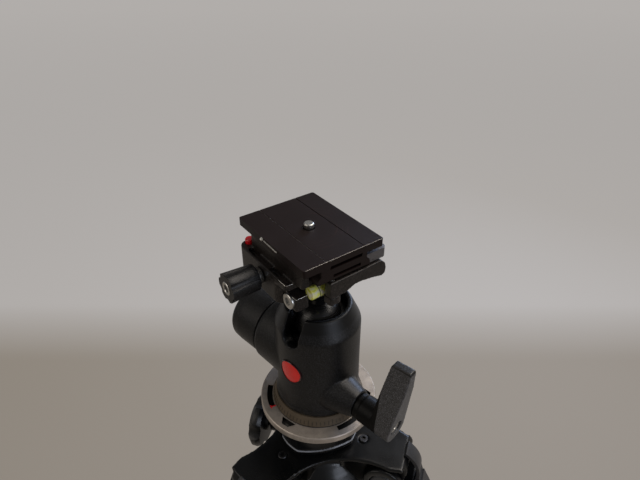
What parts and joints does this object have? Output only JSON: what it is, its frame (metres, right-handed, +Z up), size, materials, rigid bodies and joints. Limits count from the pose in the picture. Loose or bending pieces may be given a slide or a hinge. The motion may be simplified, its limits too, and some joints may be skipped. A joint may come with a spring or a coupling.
{
  "type": "camera tripod with ball head",
  "caption": "Camera tripod with closed leg sections, centre column, ball head, lever clamp and sliding camera plate.",
  "frame": {"origin": "on the floor under the axis of the centre column", "axes": "+Z up along the centre column; -Y towards the drop notch side of the head, +X towards the locking lever"},
  "size_m": [0.5304, 0.4847, 0.7275],
  "materials": {
    "black_casting": "glossy black paint on magnesium castings",
    "dark_casting": "fine textured black paint on castings",
    "tube_black": "black anodised aluminium tube",
    "disc_metal": "worn matt aluminium",
    "steel": "plain steel screws",
    "ball_metal": "black anodised ball and stem",
    "black_plastic": "fine grained black plastic",
    "rubber": "black rubber",
    "tan_scale": "tan scale ring",
    "white_plastic": "off-white sliding plastic",
    "red_plastic": "glossy red plastic",
    "vial": "yellow green level liquid",
    "jaw_metal": "grey anodised aluminium",
    "plate_anodised": "black brown anodised aluminium"
  },
  "bodies": {
    "shoulder": {"shoulder": "black_casting", "shoulder_screws": "steel", "pivot_bolts": "black_plastic", "column_collar": "dark_casting"},
    "column": {"column_tube": "tube_black", "column_end_cap": "black_plastic", "column_disc": "disc_metal", "head_stud": "steel", "head_base": "dark_casting", "pan_scale_ring": "tan_scale"},
    "column_knob": {"column_knob": "black_plastic"},
    "housing": {"ball_housing": "dark_casting", "ball_seat": "white_plastic", "badge_disc": "red_plastic", "lock_plunger": "steel"},
    "liner": {"ball_liner": "white_plastic"},
    "ball": {"ball_stem": "ball_metal"},
    "clamp": {"clamp_body": "dark_casting", "clamp_centre_screw": "steel", "clamp_pivot_screw": "steel", "level_vial": "vial"},
    "clamp_lever": {"clamp_lever": "dark_casting"},
    "jaw": {"clamp_jaw": "jaw_metal"},
    "tension_knob": {"tension_knob": "dark_casting"},
    "safety_button": {"safety_button": "red_plastic"},
    "plate": {"plate": "plate_anodised"},
    "camera_screw": {"camera_screw": "steel"},
    "lock_lever": {"lock_lever": "black_plastic"},
    "friction_knob": {"friction_knob": "dark_casting"},
    "pan_lock_knob": {"pan_lock_knob": "black_plastic"},
    "leg_1": {"knuckle_1": "black_casting", "upper_tube_1": "tube_black", "upper_lock_1": "black_casting"},
    "selector_1": {"selector_1": "black_plastic"},
    "upper_flip_1": {"upper_flip_1": "black_plastic"},
    "mid_1": {"mid_tube_1": "tube_black", "lower_lock_1": "black_casting"},
    "lower_flip_1": {"lower_flip_1": "black_plastic"},
    "low_1": {"low_tube_1": "tube_black", "foot_1": "rubber"},
    "leg_2": {"knuckle_2": "black_casting", "upper_tube_2": "tube_black", "upper_lock_2": "black_casting"},
    "selector_2": {"selector_2": "black_plastic"},
    "upper_flip_2": {"upper_flip_2": "black_plastic"},
    "mid_2": {"mid_tube_2": "tube_black", "lower_lock_2": "black_casting"},
    "lower_flip_2": {"lower_flip_2": "black_plastic"},
    "low_2": {"low_tube_2": "tube_black", "foot_2": "rubber"},
    "leg_3": {"knuckle_3": "black_casting", "upper_tube_3": "tube_black", "upper_lock_3": "black_casting"},
    "selector_3": {"selector_3": "black_plastic"},
    "upper_flip_3": {"upper_flip_3": "black_plastic"},
    "mid_3": {"mid_tube_3": "tube_black", "lower_lock_3": "black_casting"},
    "lower_flip_3": {"lower_flip_3": "black_plastic"},
    "low_3": {"low_tube_3": "tube_black", "foot_3": "rubber"}
  },
  "joints": [
    {"name": "column_rise", "type": "slide", "parent": "shoulder", "child": "column", "axis": [0, 0, 1], "range_m": [0, 0.2]},
    {"name": "column_knob_turn", "type": "hinge", "parent": "shoulder", "child": "column_knob", "pos_m": [-0.04078, -0.01902, 0.53334], "axis": [-0.9063, -0.4226, 0], "range_deg": [0, 180]},
    {"name": "pan", "type": "hinge", "parent": "column", "child": "housing", "pos_m": [0, 0, 0.59435], "axis": [0, 0, 1], "continuous": true},
    {"name": "side_tilt", "type": "hinge", "parent": "housing", "child": "liner", "pos_m": [0, 0, 0.65534], "axis": [0.0349, -0.9994, 0], "range_deg": [-26, 26]},
    {"name": "front_tilt", "type": "hinge", "parent": "liner", "child": "ball", "pos_m": [0, 0, 0.65534], "axis": [0.9994, 0.0349, 0], "range_deg": [-26, 90]},
    {"name": "clamp_spin", "type": "hinge", "parent": "ball", "child": "clamp", "pos_m": [0, 0, 0.68834], "axis": [0, 0, 1], "continuous": true},
    {"name": "clamp_lever_turn", "type": "hinge", "parent": "clamp", "child": "clamp_lever", "pos_m": [0.02409, -0.01474, 0.70234], "axis": [0, 0, 1], "range_deg": [-90, 0]},
    {"name": "jaw_slide", "type": "slide", "parent": "clamp", "child": "jaw", "axis": [0.2045, 0.9789, 0], "range_m": [0, 0.003]},
    {"name": "tension_knob_turn", "type": "hinge", "parent": "clamp", "child": "tension_knob", "pos_m": [-0.02286, -0.03609, 0.69634], "axis": [-0.2045, -0.9789, 0], "continuous": true},
    {"name": "safety_button_press", "type": "slide", "parent": "clamp", "child": "safety_button", "axis": [0, 0, -1], "range_m": [0, 0.002], "stiffness_N_per_m": 300},
    {"name": "plate_slide", "type": "slide", "parent": "clamp", "child": "plate", "axis": [0.9789, -0.2045, 0], "range_m": [-0.012, 0.012]},
    {"name": "camera_screw_turn", "type": "hinge", "parent": "plate", "child": "camera_screw", "pos_m": [-0.00601, -0.0014, 0.71835], "axis": [0, 0, 1], "continuous": true},
    {"name": "ball_lock_turn", "type": "hinge", "parent": "housing", "child": "lock_lever", "pos_m": [0.05, -0.006, 0.60735], "axis": [1, 0, 0], "range_deg": [-70, 0]},
    {"name": "friction_knob_turn", "type": "hinge", "parent": "housing", "child": "friction_knob", "pos_m": [-0.05, 0, 0.62314], "axis": [-1, 0, 0], "continuous": true},
    {"name": "pan_lock_turn", "type": "hinge", "parent": "housing", "child": "pan_lock_knob", "pos_m": [-0.02677, 0.02973, 0.59484], "axis": [-0.6691, 0.7431, 0], "continuous": true},
    {"name": "leg_spread_1", "type": "hinge", "parent": "shoulder", "child": "leg_1", "pos_m": [0.05075, 0.02367, 0.52134], "axis": [0.4226, -0.9063, 0], "range_deg": [-25, 63]},
    {"name": "selector_pull_1", "type": "slide", "parent": "leg_1", "child": "selector_1", "axis": [0.8214, 0.383, 0.4226], "range_m": [0, 0.003]},
    {"name": "mid_section_1", "type": "slide", "parent": "leg_1", "child": "mid_1", "axis": [0.383, 0.1786, -0.9063], "range_m": [0, 0.33]},
    {"name": "low_section_1", "type": "slide", "parent": "mid_1", "child": "low_1", "axis": [0.383, 0.1786, -0.9063], "range_m": [0, 0.36]},
    {"name": "upper_flip_open_1", "type": "hinge", "parent": "leg_1", "child": "upper_flip_1", "pos_m": [0.21121, 0.12109, 0.09859], "axis": [-0.383, -0.1786, 0.9063], "range_deg": [0, 120]},
    {"name": "lower_flip_open_1", "type": "hinge", "parent": "mid_1", "child": "lower_flip_1", "pos_m": [0.22928, 0.12732, 0.06002], "axis": [-0.383, -0.1786, 0.9063], "range_deg": [0, 120]},
    {"name": "leg_spread_2", "type": "hinge", "parent": "shoulder", "child": "leg_2", "pos_m": [-0.04587, 0.03212, 0.52134], "axis": [0.5736, 0.8192, 0], "range_deg": [-25, 63]},
    {"name": "selector_pull_2", "type": "slide", "parent": "leg_2", "child": "selector_2", "axis": [-0.7424, 0.5198, 0.4226], "range_m": [0, 0.003]},
    {"name": "mid_section_2", "type": "slide", "parent": "leg_2", "child": "mid_2", "axis": [-0.3462, 0.2424, -0.9063], "range_m": [0, 0.33]},
    {"name": "low_section_2", "type": "slide", "parent": "mid_2", "child": "low_2", "axis": [-0.3462, 0.2424, -0.9063], "range_m": [0, 0.36]},
    {"name": "upper_flip_open_2", "type": "hinge", "parent": "leg_2", "child": "upper_flip_2", "pos_m": [-0.21047, 0.12237, 0.09859], "axis": [0.3462, -0.2424, 0.9063], "range_deg": [0, 120]},
    {"name": "lower_flip_open_2", "type": "hinge", "parent": "mid_2", "child": "lower_flip_2", "pos_m": [-0.2249, 0.13491, 0.06002], "axis": [0.3462, -0.2424, 0.9063], "range_deg": [0, 120]},
    {"name": "leg_spread_3", "type": "hinge", "parent": "shoulder", "child": "leg_3", "pos_m": [-0.00488, -0.05579, 0.52134], "axis": [-0.9962, 0.0872, 0], "range_deg": [-25, 63]},
    {"name": "selector_pull_3", "type": "slide", "parent": "leg_3", "child": "selector_3", "axis": [-0.079, -0.9029, 0.4226], "range_m": [0, 0.003]},
    {"name": "mid_section_3", "type": "slide", "parent": "leg_3", "child": "mid_3", "axis": [-0.0368, -0.421, -0.9063], "range_m": [0, 0.33]},
    {"name": "low_section_3", "type": "slide", "parent": "mid_3", "child": "low_3", "axis": [-0.0368, -0.421, -0.9063], "range_m": [0, 0.36]},
    {"name": "upper_flip_open_3", "type": "hinge", "parent": "leg_3", "child": "upper_flip_3", "pos_m": [-0.00074, -0.24346, 0.09859], "axis": [0.0368, 0.421, 0.9063], "range_deg": [0, 120]},
    {"name": "lower_flip_open_3", "type": "hinge", "parent": "mid_3", "child": "lower_flip_3", "pos_m": [-0.00438, -0.26222, 0.06002], "axis": [0.0368, 0.421, 0.9063], "range_deg": [0, 120]}
  ],
  "couplings": [
    {"joint": "jaw_slide", "follows": "clamp_lever_turn", "m_per_rad": -0.0019}
  ]
}
